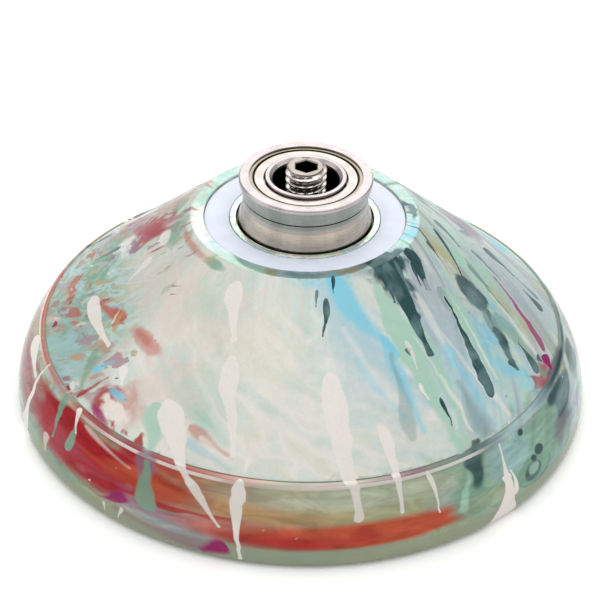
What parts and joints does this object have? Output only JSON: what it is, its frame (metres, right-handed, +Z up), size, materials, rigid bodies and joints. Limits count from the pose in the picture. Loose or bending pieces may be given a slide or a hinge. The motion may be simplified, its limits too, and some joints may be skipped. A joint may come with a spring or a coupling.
{
  "type": "yo-yo half",
  "caption": "Half of a metal ball-bearing yo-yo: flared dyed shell with rim and cup, silicone response ring, grooved bearing on its seat and socket set screw axle.",
  "frame": {"origin": "middle of the rim's foot, on the surface that the half lies on", "axes": "+Z up the axle, from the cup towards the bearing"},
  "size_m": [0.056, 0.056, 0.0254],
  "materials": {
    "dyed_shell": "splash-dyed satin metallic",
    "silicone": "matte white silicone",
    "axle_steel": "machined stainless",
    "race_steel": "ground and polished",
    "shield_steel": "bright pressed sheet",
    "spring_steel": "bright wire",
    "cage_steel": "pressed steel",
    "ball_steel": "polished"
  },
  "bodies": {
    "half": {"body": "dyed_shell", "response_pad": "silicone", "axle_screw": "axle_steel", "inner_race": "race_steel"},
    "outer_ring": {"outer_race": "race_steel", "upper_shield": "shield_steel", "lower_shield": "shield_steel", "upper_snap_ring": "spring_steel", "lower_snap_ring": "spring_steel"},
    "cage": {"ball_cage": "cage_steel"},
    "ball_01": {"ball_01": "ball_steel"},
    "ball_02": {"ball_02": "ball_steel"},
    "ball_03": {"ball_03": "ball_steel"},
    "ball_04": {"ball_04": "ball_steel"},
    "ball_05": {"ball_05": "ball_steel"},
    "ball_06": {"ball_06": "ball_steel"},
    "ball_07": {"ball_07": "ball_steel"},
    "ball_08": {"ball_08": "ball_steel"},
    "ball_09": {"ball_09": "ball_steel"},
    "ball_10": {"ball_10": "ball_steel"}
  },
  "joints": [
    {"name": "outer_ring_spin", "type": "hinge", "parent": "half", "child": "outer_ring", "pos_m": [0, 0, 0.02198], "axis": [0, 0, 1], "continuous": true},
    {"name": "cage_orbit", "type": "hinge", "parent": "half", "child": "cage", "pos_m": [0, 0, 0.02198], "axis": [0, 0, 1], "continuous": true},
    {"name": "ball_01_roll", "type": "hinge", "parent": "cage", "child": "ball_01", "pos_m": [0.00453, 0.00147, 0.02198], "axis": [0, 0, 1], "continuous": true},
    {"name": "ball_02_roll", "type": "hinge", "parent": "cage", "child": "ball_02", "pos_m": [0.0028, 0.00385, 0.02198], "axis": [0, 0, 1], "continuous": true},
    {"name": "ball_03_roll", "type": "hinge", "parent": "cage", "child": "ball_03", "pos_m": [0, 0.00476, 0.02198], "axis": [0, 0, 1], "continuous": true},
    {"name": "ball_04_roll", "type": "hinge", "parent": "cage", "child": "ball_04", "pos_m": [-0.0028, 0.00385, 0.02198], "axis": [0, 0, 1], "continuous": true},
    {"name": "ball_05_roll", "type": "hinge", "parent": "cage", "child": "ball_05", "pos_m": [-0.00453, 0.00147, 0.02198], "axis": [0, 0, 1], "continuous": true},
    {"name": "ball_06_roll", "type": "hinge", "parent": "cage", "child": "ball_06", "pos_m": [-0.00453, -0.00147, 0.02198], "axis": [0, 0, 1], "continuous": true},
    {"name": "ball_07_roll", "type": "hinge", "parent": "cage", "child": "ball_07", "pos_m": [-0.0028, -0.00385, 0.02198], "axis": [0, 0, 1], "continuous": true},
    {"name": "ball_08_roll", "type": "hinge", "parent": "cage", "child": "ball_08", "pos_m": [0, -0.00476, 0.02198], "axis": [0, 0, 1], "continuous": true},
    {"name": "ball_09_roll", "type": "hinge", "parent": "cage", "child": "ball_09", "pos_m": [0.0028, -0.00385, 0.02198], "axis": [0, 0, 1], "continuous": true},
    {"name": "ball_10_roll", "type": "hinge", "parent": "cage", "child": "ball_10", "pos_m": [0.00453, -0.00147, 0.02198], "axis": [0, 0, 1], "continuous": true}
  ],
  "couplings": [
    {"joint": "cage_orbit", "follows": "outer_ring_spin", "ratio": 0.58333},
    {"joint": "ball_01_roll", "follows": "outer_ring_spin", "ratio": 2.9167},
    {"joint": "ball_02_roll", "follows": "outer_ring_spin", "ratio": 2.9167},
    {"joint": "ball_03_roll", "follows": "outer_ring_spin", "ratio": 2.9167},
    {"joint": "ball_04_roll", "follows": "outer_ring_spin", "ratio": 2.9167},
    {"joint": "ball_05_roll", "follows": "outer_ring_spin", "ratio": 2.9167},
    {"joint": "ball_06_roll", "follows": "outer_ring_spin", "ratio": 2.9167},
    {"joint": "ball_07_roll", "follows": "outer_ring_spin", "ratio": 2.9167},
    {"joint": "ball_08_roll", "follows": "outer_ring_spin", "ratio": 2.9167},
    {"joint": "ball_09_roll", "follows": "outer_ring_spin", "ratio": 2.9167},
    {"joint": "ball_10_roll", "follows": "outer_ring_spin", "ratio": 2.9167}
  ]
}
